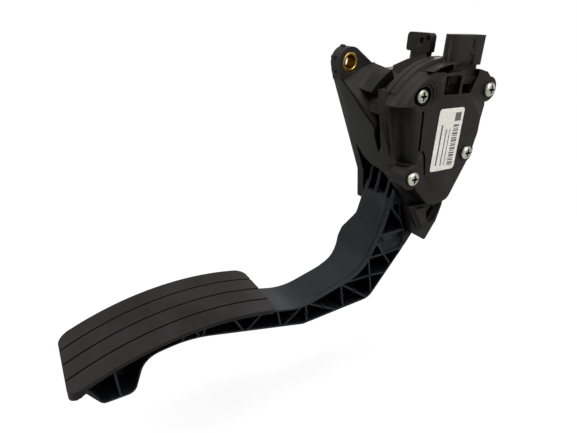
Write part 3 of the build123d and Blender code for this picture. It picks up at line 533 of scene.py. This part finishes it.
# The cell beside the panel, and the strips along the skin above it: the floor, and the outline as
# (Y, Z) in millimetres.
cells = [
    (web_x, [(-24.8, -68.2), (-28.4, -76.2), (-19.4, -76.2)]),
    (web_x, [(-17.0, -44.5), (-19.3, -53.9), (-21.7, -61.4), (-19.6, -61.4), (-17.2, -53.9), (-14.8, -44.5)]),
    (panel_x, [(-22.2, -62.4), (-24.3, -67.0), (-23.2, -67.0), (-20.4, -62.4)]),
]
for floor_x, outline in cells:
    hollows.append(([(floor_x, y / 1000, z / 1000) for y, z in outline], (near_reach, 0, 0)))
arm = dressed("pedal_arm", "arm_moulding", "pedal", arm_nylon, hollows)
# Thin ribs across the hollow, each from one (Y, Z) to another in millimetres. The first five carry
# the round pads of the ejector pins.
rib_low_x = 0.0198
rib_high_x = 0.0347
rib_w = 0.0011
pin_r = 0.00125
pin_sides = 14
pin_ribs = 5
rib_lines = [
    ((-49.5, -90.0), (-27.5, -106.6)), ((-50.0, -90.0), (-46.6, -107.8)),
    ((-74.0, -96.2), (-52.2, -108.1)), ((-75.6, -96.4), (-74.1, -109.2)),
    ((-78.2, -96.5), (-90.4, -106.0)), ((-95.2, -93.7), (-92.9, -105.3)),
    ((-104.4, -91.5), (-114.5, -100.0)), ((-123.0, -88.8), (-117.2, -99.4)),
    ((-138.6, -88.4), (-140.6, -94.0)), ((-144.2, -88.5), (-142.6, -93.6)),
    ((-150.2, -88.9), (-151.6, -93.2)), ((-185.8, -95.8), (-184.6, -114.4)),
    ((-18.5, -75.0), (-9.6, -86.2)), ((-29.2, -76.6), (-1.6, -75.4)),
    ((-29.5, -77.0), (-23.7, -104.2)), ((-48.2, -89.6), (-27.4, -89.9)),
    ((-27.4, -89.9), (-13.7, -91.4)), ((-17.0, -43.4), (-7.5, -53.7)),
    ((-22.7, -62.3), (-4.2, -61.9)),
]
rib_x = (rib_low_x + rib_high_x) / 2
rib_reach = rib_high_x - rib_low_x
ends = [Vector((rib_x, y / 1000, z / 1000)) for line in rib_lines for y, z in line]
steps = [(2 * i, 2 * i + 1) for i in range(len(rib_lines))]
tree, sizes = node_tree("near_ribs", ["Width", "Reach"])
line = add(tree, "GeometryNodeMeshToCurve", {"Mesh": sizes["Geometry"]})
upright = add(tree, "GeometryNodeSetCurveNormal", {"Curve": line.outputs["Curve"]}, mode="Z_UP")
section = add(tree, "GeometryNodeCurvePrimitiveQuadrilateral",
              {"Width": sizes["Reach"], "Height": sizes["Width"]})
rib = add(tree, "GeometryNodeCurveToMesh",
          {"Curve": upright.outputs["Curve"], "Profile Curve": section.outputs["Curve"], "Fill Caps": True})
join(arm, shaped("near_ribs", tree, rib.outputs["Mesh"], ends, steps, arm_nylon,
                 {"Width": rib_w, "Reach": rib_reach}))
pin_spots = [(ends[start] + ends[end]) / 2 for start, end in steps[:pin_ribs]]
join(arm, pegs("ejector_pins", pin_spots, pin_r, rib_reach, pin_sides, arm_nylon))

# Pedal pad: a tread of black rubber moulded with long grooves and a lip that grips the seat
# plate of the arm. The grooves run out at both ends, and the near edge is undercut to a thin lip.
# Both follow circles about the centre of the pad's curve. Radii and places are in millimetres.
# Pad rubber: a warmer and duller black than the nylon, with a close grain drawn at 0.6 mm so that
# it shows.
pad_rubber = moulded("moulded_pad_rubber", dark="#1a1918", pale="#222020", edge_wear_and_highlight="#3b3836", roughness=0.56,
                     shine=0.06, patch_mm=20, grain_mm=0.6, depth_mm=0.025, edge_mm=0.9)
curve_y = -137.0
curve_z = -244.6
seat_r = 157.0
tread_r = 160.0
pad_tip = -208.0
pad_heel = -96.0
pad_steps = 24


def on_curve(x, y, radius):
    """Point of the pad at x and y, on a circle about the centre of its curve."""
    return x / 1000, y / 1000, (curve_z + math.sqrt(radius ** 2 - (y - curve_y) ** 2)) / 1000


groove_spots = (3.025, 14.85, 26.675)
groove_w = 1.3
groove_low_r = 158.9
groove_proud = 2
stations = [pad_tip + (pad_heel - pad_tip) * i / pad_steps for i in range(pad_steps + 1)]
hollows = []
for groove_x in groove_spots:
    side_x = groove_x - groove_w / 2
    outline = [on_curve(side_x, y, groove_low_r) for y in stations]
    outline += [on_curve(side_x, y, tread_r + groove_proud) for y in stations[::-1]]
    hollows.append((outline, (groove_w / 1000, 0, 0)))
lip_x = 36.55
lip_reach = 4
lip_end = -201.0
lip_thin_y = -140.0
lip_thin = 1.2
lip_heel = 2.4
under_seat = 4
stations = [lip_end + (pad_heel - lip_end) * i / pad_steps for i in range(pad_steps + 1)]
outline = [on_curve(lip_x, y, seat_r - under_seat) for y in stations]
for y in stations[::-1]:
    lip = lip_thin + (lip_heel - lip_thin) * max(0.0, (y - lip_thin_y) / (pad_heel - lip_thin_y))
    outline.append(on_curve(lip_x, y, tread_r - lip))
hollows.append((outline, (lip_reach / 1000, 0, 0)))
dressed("pedal_pad", "pad_tread", "pedal", pad_rubber, hollows)

# Pivot shaft: a ground steel pin pressed into the hub of the arm. It turns in the two bushes
# and is hidden by the cover.
# Ground steel: a bright even grey with fine lines round the pin.
finish("pivot_shaft", metal("ground_steel", dark="#8c8d8f", pale="#a9aaac", roughness=0.25, patch_mm=5,
                            line_mm=0.3, depth_mm=0.004))

# Rotor carrier and rotor: a moulded nylon disc pressed on the end of the shaft, and the copper
# vanes that it carries past the sensor.
# Carrier nylon: a plain dark grey with a soft gloss.
finish("rotor_carrier", moulded("carrier_nylon", dark="#2a2a2a", pale="#383838", edge_wear_and_highlight="#454545",
                                roughness=0.5, shine=0.4, patch_mm=8, grain_mm=0.5, depth_mm=0.01,
                                edge_mm=0.15))
# Copper sheet: a warm reddish metal, clean and fairly bright.
finish("rotor", metal("copper_sheet", dark="#b06a45", pale="#cf8a62", roughness=0.3, patch_mm=3, line_mm=0.4,
                      depth_mm=0.004))

# Circuit board, sensor chips and pins: a laminate board on the ledge of the cover, with two
# moulded packages, and six tinned pins that run up into the plug socket.
# Solder mask: a glossy green over the darker copper areas under it.
finish("circuit_board", moulded("solder_mask", dark="#0d3a20", pale="#17532f", edge_wear_and_highlight="#2a6642", roughness=0.3,
                                shine=0.5, patch_mm=5, grain_mm=0.8, depth_mm=0.008, edge_mm=0.15))
# Chip epoxy: a flat matt black.
finish("sensor_chips", moulded("chip_epoxy", dark="#141414", pale="#1e1e1e", edge_wear_and_highlight="#2a2a2a", roughness=0.6,
                               shine=0.4, patch_mm=4, grain_mm=0.3, depth_mm=0.01, edge_mm=0.2))
# Tin plate: a soft silver white, clouded in places.
finish("connector_pins", metal("tinned_brass", dark="#b9b8b2", pale="#d3d2cc", roughness=0.35, patch_mm=2,
                               line_mm=0.3, depth_mm=0.004))

# Cover seal: a moulded silicone ring in the groove of the near wall, squeezed by the cover
# when its screws are tightened.
# Seal silicone: a dull brick red with a soft sheen.
finish("cover_seal", moulded("seal_silicone", dark="#7a2a1d", pale="#8d3526", edge_wear_and_highlight="#9c4433", roughness=0.5,
                             shine=0.4, patch_mm=6, grain_mm=0.5, depth_mm=0.01, edge_mm=0.15))

# Sensor cover: a lid of black PBT moulded in one piece with the plug socket. Four screws hold
# it on the near wall.
# Black PBT: a slightly warm satin black, smoother than the nylon, with a grain drawn at 0.8 mm so
# that it shows.
pbt = moulded("black_pbt", dark="#1c1a19", pale="#252322", edge_wear_and_highlight="#423f3c", roughness=0.46, shine=0.08,
              patch_mm=20, grain_mm=0.8, depth_mm=0.015, edge_mm=0.7)
face_x = 0.050
sunk_x = 0.0465
sunk_spot = (-0.0192, 0.0252)
hollows = []
# Two steps round the sunk screw, as radius and depth.
ring_points = 40
ring_reach = 0.003
for ring_r, ring_deep in ((0.0084, 0.0003), (0.0067, 0.0009)):
    ring = []
    for i in range(ring_points):
        angle = 2 * math.pi * i / ring_points
        ring.append((face_x - ring_deep, sunk_spot[0] + ring_r * math.cos(angle),
                     sunk_spot[1] + ring_r * math.sin(angle)))
    hollows.append((ring, (ring_reach, 0, 0)))
# Two slits beside the label, the open top of the second cell under the socket, and the hollow
# beside the corner: the floor, and the outline as (Y, Z) in millimetres.
cell_reach = 0.012
cells = [
    (0.0486, [(-19.7, 17.6), (-18.0, 17.6), (-16.5, -4.3), (-18.2, -4.3)]),
    (0.0486, [(-15.7, -4.3), (-13.9, -4.3), (-11.9, -6.8), (-8.7, -19.3), (-10.4, -19.3), (-13.4, -7.4)]),
    (0.0468, [(8.2, 34.0), (19.8, 34.0), (21.2, 40.2), (8.2, 40.2)]),
    (0.0412, [(-17.0, 37.3), (-3.2, 37.3), (-3.2, 41.2), (-8.0, 40.6), (-13.0, 39.3)]),
]
for floor_x, outline in cells:
    hollows.append(([(floor_x, y / 1000, z / 1000) for y, z in outline], (cell_reach, 0, 0)))
# Channel down the side of the cover, under its corner: the section as (X, Y from the side) in
# millimetres, with a round between its floor and the face, swept from the top of the side to its foot.
side_top = Vector((0, -0.03245, 0.0204))
side_foot = Vector((0, -0.0243, -0.0120))
channel_low = 40.6
channel_past = 52.0
channel_out = -3.0
channel_in = 4.5
round_x = 46.4
round_r = 3.6
round_steps = 6
section = [(channel_past, channel_out), (channel_low, channel_out)]
section += [(channel_low, channel_in), (round_x, channel_in)]
for i in range(1, round_steps + 1):
    angle = math.pi / 2 * i / round_steps
    section.append((round_x + round_r * math.sin(angle), channel_in + round_r * (1 - math.cos(angle))))
section.append((channel_past, channel_in + round_r))
hollows.append(([side_top + Vector((x, y, 0)) / 1000 for x, y in section], side_foot - side_top))
dressed("sensor_cover", "cover_lid", "housing", pbt, hollows)

# Cover screws: zinc-plated pan heads with a cross recess. Three sit on the lobes of the cover
# and the fourth is sunk in its upper corner.
head_r = 0.004
head_side = 0.0013
shank_r = 0.002
shank_l = 0.0158
recess_deep = 0.0022
recess_reach = 0.46
recess_taper = 0.7
screw_spots = [(face_x, 0.0308, 0.0268), (face_x, 0.0218, -0.0092), (face_x, -0.0196, -0.0195)]
screw_spots.append((sunk_x, *sunk_spot))
tree, sizes = node_tree("screws", ["Head radius", "Side", "Shank radius", "Shank length", "Recess depth"])
disc = add(tree, "GeometryNodeMeshCircle", {"Vertices": 64, "Radius": sizes["Head radius"]}, fill_type="NGON")
step = add(tree, "GeometryNodeExtrudeMesh", {"Mesh": disc.outputs["Mesh"], "Offset Scale": sizes["Side"]})
shape, top = step.outputs["Mesh"], step.outputs["Top"]
# The crown rises in three narrowing steps, and the last inset becomes the recess.
for rise, narrow in ((0.00065, 0.93), (0.0004, 0.84), (0.00025, 0.8), (0.0, 0.66)):
    step = add(tree, "GeometryNodeExtrudeMesh", {"Mesh": shape, "Selection": top, "Offset Scale": rise})
    smaller = add(tree, "GeometryNodeScaleElements",
                  {"Geometry": step.outputs["Mesh"], "Selection": step.outputs["Top"], "Scale": narrow})
    shape, top = smaller.outputs["Geometry"], step.outputs["Top"]
# Four waves round the inset draw it out into a cross.
spot = add(tree, "GeometryNodeInputPosition")
flat = add(tree, "ShaderNodeVectorMath",
           {0: spot.outputs["Position"], 1: (1.0, 1.0, 0.0)}, operation="MULTIPLY")
axes = add(tree, "ShaderNodeSeparateXYZ", {"Vector": flat.outputs["Vector"]})
turn = add(tree, "ShaderNodeMath", {0: axes.outputs["Y"], 1: axes.outputs["X"]}, operation="ARCTAN2")
lobes = add(tree, "ShaderNodeMath", {0: turn.outputs["Value"], 1: 4.0}, operation="MULTIPLY")
wave = add(tree, "ShaderNodeMath", {0: lobes.outputs["Value"]}, operation="COSINE")
reach = add(tree, "ShaderNodeMath", {0: wave.outputs["Value"], 1: recess_reach}, operation="MULTIPLY")
shift = add(tree, "ShaderNodeVectorMath",
            {0: flat.outputs["Vector"], "Scale": reach.outputs["Value"]}, operation="SCALE")
cross = add(tree, "GeometryNodeSetPosition",
            {"Geometry": shape, "Selection": top, "Offset": shift.outputs["Vector"]})
sunk = add(tree, "GeometryNodeExtrudeMesh",
           {"Mesh": cross.outputs["Geometry"], "Selection": top, "Offset Scale": sizes["Recess depth"]})
head = add(tree, "GeometryNodeScaleElements",
           {"Geometry": sunk.outputs["Mesh"], "Selection": sunk.outputs["Top"], "Scale": recess_taper})
shank = add(tree, "GeometryNodeMeshCylinder",
            {"Vertices": 12, "Radius": sizes["Shank radius"], "Depth": sizes["Shank length"]})
half = add(tree, "ShaderNodeMath", {0: sizes["Shank length"], 1: -0.5}, operation="MULTIPLY")
low = add(tree, "ShaderNodeCombineXYZ", {"Z": half.outputs["Value"]})
body = add(tree, "GeometryNodeTransform",
           {"Geometry": shank.outputs["Mesh"], "Translation": low.outputs["Vector"]})
screw = add(tree, "GeometryNodeJoinGeometry", {"Geometry": head.outputs["Geometry"]})
tree.links.new(disc.outputs["Mesh"], screw.inputs["Geometry"])
tree.links.new(body.outputs["Geometry"], screw.inputs["Geometry"])
row = add(tree, "GeometryNodeInstanceOnPoints",
          {"Points": sizes["Geometry"], "Instance": screw.outputs["Geometry"], "Rotation": along_x})
# Zinc plate: a pale grey metal with a faint green-yellow cast, cloudy where it was passivated.
zinc = metal("zinc_plate", dark="#878a7c", pale="#aeb1a3", roughness=0.36, patch_mm=3, line_mm=0.6,
             depth_mm=0.006)
screws = shaped("pan_head_screws", tree, row.outputs["Instances"], screw_spots, [], zinc,
                {"Head radius": head_r, "Side": head_side, "Shank radius": shank_r, "Shank length": shank_l,
                 "Recess depth": -recess_deep})
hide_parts("cover_screws")
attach(screws, "housing")

# Label: a plate of white polyester film with rounded corners, stuck on the face of the cover
# and printed with plain grey bars.
label_low, label_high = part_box("label")
corner_r = 0.002
corner_steps = 6
ink_proud = 0.00003
half_w = (label_high[1] - label_low[1]) / 2
half_h = (label_high[2] - label_low[2]) / 2
middle_y = (label_high[1] + label_low[1]) / 2
middle_z = (label_high[2] + label_low[2]) / 2
outline = []
for quarter, (side_y, side_z) in enumerate(((1, 1), (-1, 1), (-1, -1), (1, -1))):
    for i in range(corner_steps + 1):
        angle = math.pi / 2 * (quarter + i / corner_steps)
        outline.append((middle_y + side_y * (half_w - corner_r) + corner_r * math.cos(angle),
                        middle_z + side_z * (half_h - corner_r) + corner_r * math.sin(angle)))
# The film and each printed bar are thin closed slabs, the bars a little proud of the film.
slabs = [(outline, label_low[0], label_high[0], 0)]
# Bars as (left, low, right, high) in millimetres from the middle: a field, three lines and a row.
bars = [(3.2, 10.6, 8.0, 15.4), (-6.6, -14.5, -5.4, 9.0), (-2.6, -15.0, -1.8, 6.5), (0.4, -15.0, 1.0, 6.5)]
row_left = 3.2
row_right = 7.6
row_bars = 17
thin_bar = 0.5
bar_step = 0.35
thin_gap = 0.45
gap_step = 0.3
bar_low = -15.5
for i in range(row_bars):
    bar_high = bar_low + thin_bar + bar_step * (i * 5 % 3)
    bars.append((row_left, bar_low, row_right, bar_high))
    bar_low = bar_high + thin_gap + gap_step * (i * 7 % 2)
for left, bar_low, right, bar_high in bars:
    corners = ((left, bar_low), (right, bar_low), (right, bar_high), (left, bar_high))
    slabs.append(([(middle_y + y / 1000, middle_z + z / 1000) for y, z in corners],
                  label_high[0] - ink_proud, label_high[0] + ink_proud, 1))
plate = bmesh.new()
for outline, back_x, front_x, ink in slabs:
    back = [plate.verts.new((back_x, y, z)) for y, z in outline]
    front = [plate.verts.new((front_x, y, z)) for y, z in outline]
    plate.faces.new(front).material_index = ink
    plate.faces.new(back[::-1]).material_index = ink
    for i in range(len(outline)):
        plate.faces.new((back[i - 1], back[i], front[i], front[i - 1])).material_index = ink
film_mesh = bpy.data.meshes.new("label_film")
plate.to_mesh(film_mesh)
plate.free()
# Polyester film: an off-white with a slight gloss.
film_mesh.materials.append(
    moulded("polyester_film", dark="#dedbd2", pale="#e8e5dd", edge_wear_and_highlight="#e8e5dd", roughness=0.42, shine=0.4,
            patch_mm=9, grain_mm=0.7, depth_mm=0.004, edge_mm=0.1))
# Printing ink: a soft dark grey, thin in places.
film_mesh.materials.append(
    moulded("printing_ink", dark="#4a4a4a", pale="#5e5e5d", edge_wear_and_highlight="#5e5e5d", roughness=0.5, shine=0.4,
            patch_mm=1.5, grain_mm=0.5, depth_mm=0.002, edge_mm=0.05))
film = bpy.data.objects.new("label_film", film_mesh)
bpy.context.collection.objects.link(film)
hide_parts("label")
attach(film, "housing")


# Studio: a sheet of plain pale paper and a pale room, both white where they are seen directly,
# and the paper with a soft shadow. The pedal hangs from its mounting face, so the floor lies
# just under the pad pressed right down.
def seen_directly(tree):
    """Share of a ray that comes from the camera, from gloss or through glass."""
    rays = add(tree, "ShaderNodeLightPath")
    glossy = add(tree, "ShaderNodeMath",
                 {0: rays.outputs["Is Camera Ray"], 1: rays.outputs["Is Glossy Ray"]}, operation="MAXIMUM")
    seen = add(tree, "ShaderNodeMath",
               {0: glossy.outputs["Value"], 1: rays.outputs["Is Transmission Ray"]}, operation="MAXIMUM")
    return seen.outputs["Value"]


pressed = math.radians(frame["record"]["behaviour"]["joints"][0]["range_deg"][1])
arm_spots = [vert.co for vert in frame["nodes"]["pedal_arm"].data.vertices]
lowest = min(spot.y * math.sin(pressed) + spot.z * math.cos(pressed) for spot in arm_spots)
floor_gap = 0.002
floor_z = lowest - floor_gap
floor_reach = 3.0
floor_mesh = bpy.data.meshes.new("floor")
corners = [(x * floor_reach, y * floor_reach, floor_z) for x, y in ((-1, -1), (1, -1), (1, 1), (-1, 1))]
floor_mesh.from_pydata(corners, [], [(0, 1, 2, 3)])
floor = bpy.data.objects.new("floor", floor_mesh)
bpy.context.collection.objects.link(floor)
# Studio paper: white, with the pedal's shadow on it near the pedal and none farther off.
shadow_share = 0.3
shadow_reach = 0.5
shadow_y = -0.1
paper = bpy.data.materials.new("studio_paper")
paper.use_nodes = True
tree = paper.node_tree
tree.nodes.clear()
grey = add(tree, "ShaderNodeBsdfDiffuse", {"Color": linear("#505050")})
white = add(tree, "ShaderNodeBsdfDiffuse", {"Color": linear("#fafafa")})
glow = add(tree, "ShaderNodeEmission", {"Color": linear("#ffffff"), "Strength": 1.0})
place = add(tree, "ShaderNodeTexCoord").outputs["Object"]
about = add(tree, "ShaderNodeMapping",
            {"Vector": place, "Location": (0.0, -shadow_y / shadow_reach, -floor_z / shadow_reach),
             "Scale": (1 / shadow_reach, 1 / shadow_reach, 1 / shadow_reach)})
near = add(tree, "ShaderNodeTexGradient", {"Vector": about.outputs["Vector"]}, gradient_type="SPHERICAL")
share = add(tree, "ShaderNodeMapRange",
            {"Value": near.outputs["Fac"], "From Max": 0.6, "To Max": shadow_share})
pale = add(tree, "ShaderNodeMixShader",
           {"Fac": share.outputs["Result"], 1: glow.outputs["Emission"], 2: white.outputs["BSDF"]})
sheet = add(tree, "ShaderNodeMixShader",
            {"Fac": seen_directly(tree), 1: grey.outputs["BSDF"], 2: pale.outputs["Shader"]})
add(tree, "ShaderNodeOutputMaterial", {"Surface": sheet.outputs["Shader"]})
floor_mesh.materials.append(paper)
room_light = 0.07
world = bpy.data.worlds.new("studio")
bpy.context.scene.world = world
world.use_nodes = True
tree = world.node_tree
tree.nodes.clear()
room = add(tree, "ShaderNodeBackground", {"Color": linear("#ffffff"), "Strength": room_light})
backdrop = add(tree, "ShaderNodeBackground", {"Color": linear("#ffffff"), "Strength": 1.0})
both = add(tree, "ShaderNodeMixShader",
           {"Fac": seen_directly(tree), 1: room.outputs["Background"], 2: backdrop.outputs["Background"]})
add(tree, "ShaderNodeOutputWorld", {"Surface": both.outputs["Shader"]})

# Soft boxes: four square lamps of one size, above the pedal, on the cover's side, on the
# driver's side and on the far side. All of them face the middle of the pedal.
middle = Vector((0.02, -0.08, -0.03))
box_size = 0.6
boxes = [
    ("top_box", (0.12, -0.15, 1.0), 7.5),
    ("near_box", (0.85, 0.1, 0.6), 10.2),
    ("driver_box", (-0.3, -0.95, 0.75), 10.0),
    ("far_box", (-0.55, 0.8, 0.3), 4.0),
]
for name, place, watts in boxes:
    light = bpy.data.lights.new(name, "AREA")
    light.size = box_size
    light.energy = watts
    box = bpy.data.objects.new(name, light)
    facing = (Vector(place) - middle).to_track_quat("Z", "Y").to_matrix().to_4x4()
    box.matrix_world = Matrix.Translation(place) @ facing
    bpy.context.collection.objects.link(box)

# Camera: it stands at the photograph's angle, a little rolled, and has the photograph's field
# of view. The width and the focal length are in the photograph's pixels.
azimuth = math.radians(31.9)
elevation = math.radians(24.9)
roll = math.radians(2.3)
stand = (0.21358, -0.20175, 0.06307)
image_width = 577
focal_pixels = 442
toward = Vector((math.cos(azimuth) * math.cos(elevation), -math.sin(azimuth) * math.cos(elevation),
                 math.sin(elevation)))
level = Vector((math.sin(azimuth), math.cos(azimuth), 0))
upward = toward.cross(level)
right = math.cos(roll) * level + math.sin(roll) * upward
up = math.cos(roll) * upward - math.sin(roll) * level
lens = bpy.data.cameras.new("camera")
lens.sensor_fit = "HORIZONTAL"
lens.sensor_width = 36
lens.lens = lens.sensor_width * focal_pixels / image_width
camera = bpy.data.objects.new("camera", lens)
camera.matrix_world = Matrix.Translation(stand) @ Matrix((right, up, toward)).transposed().to_4x4()
bpy.context.collection.objects.link(camera)
bpy.context.scene.camera = camera
bpy.context.scene.view_settings.view_transform = "Standard"
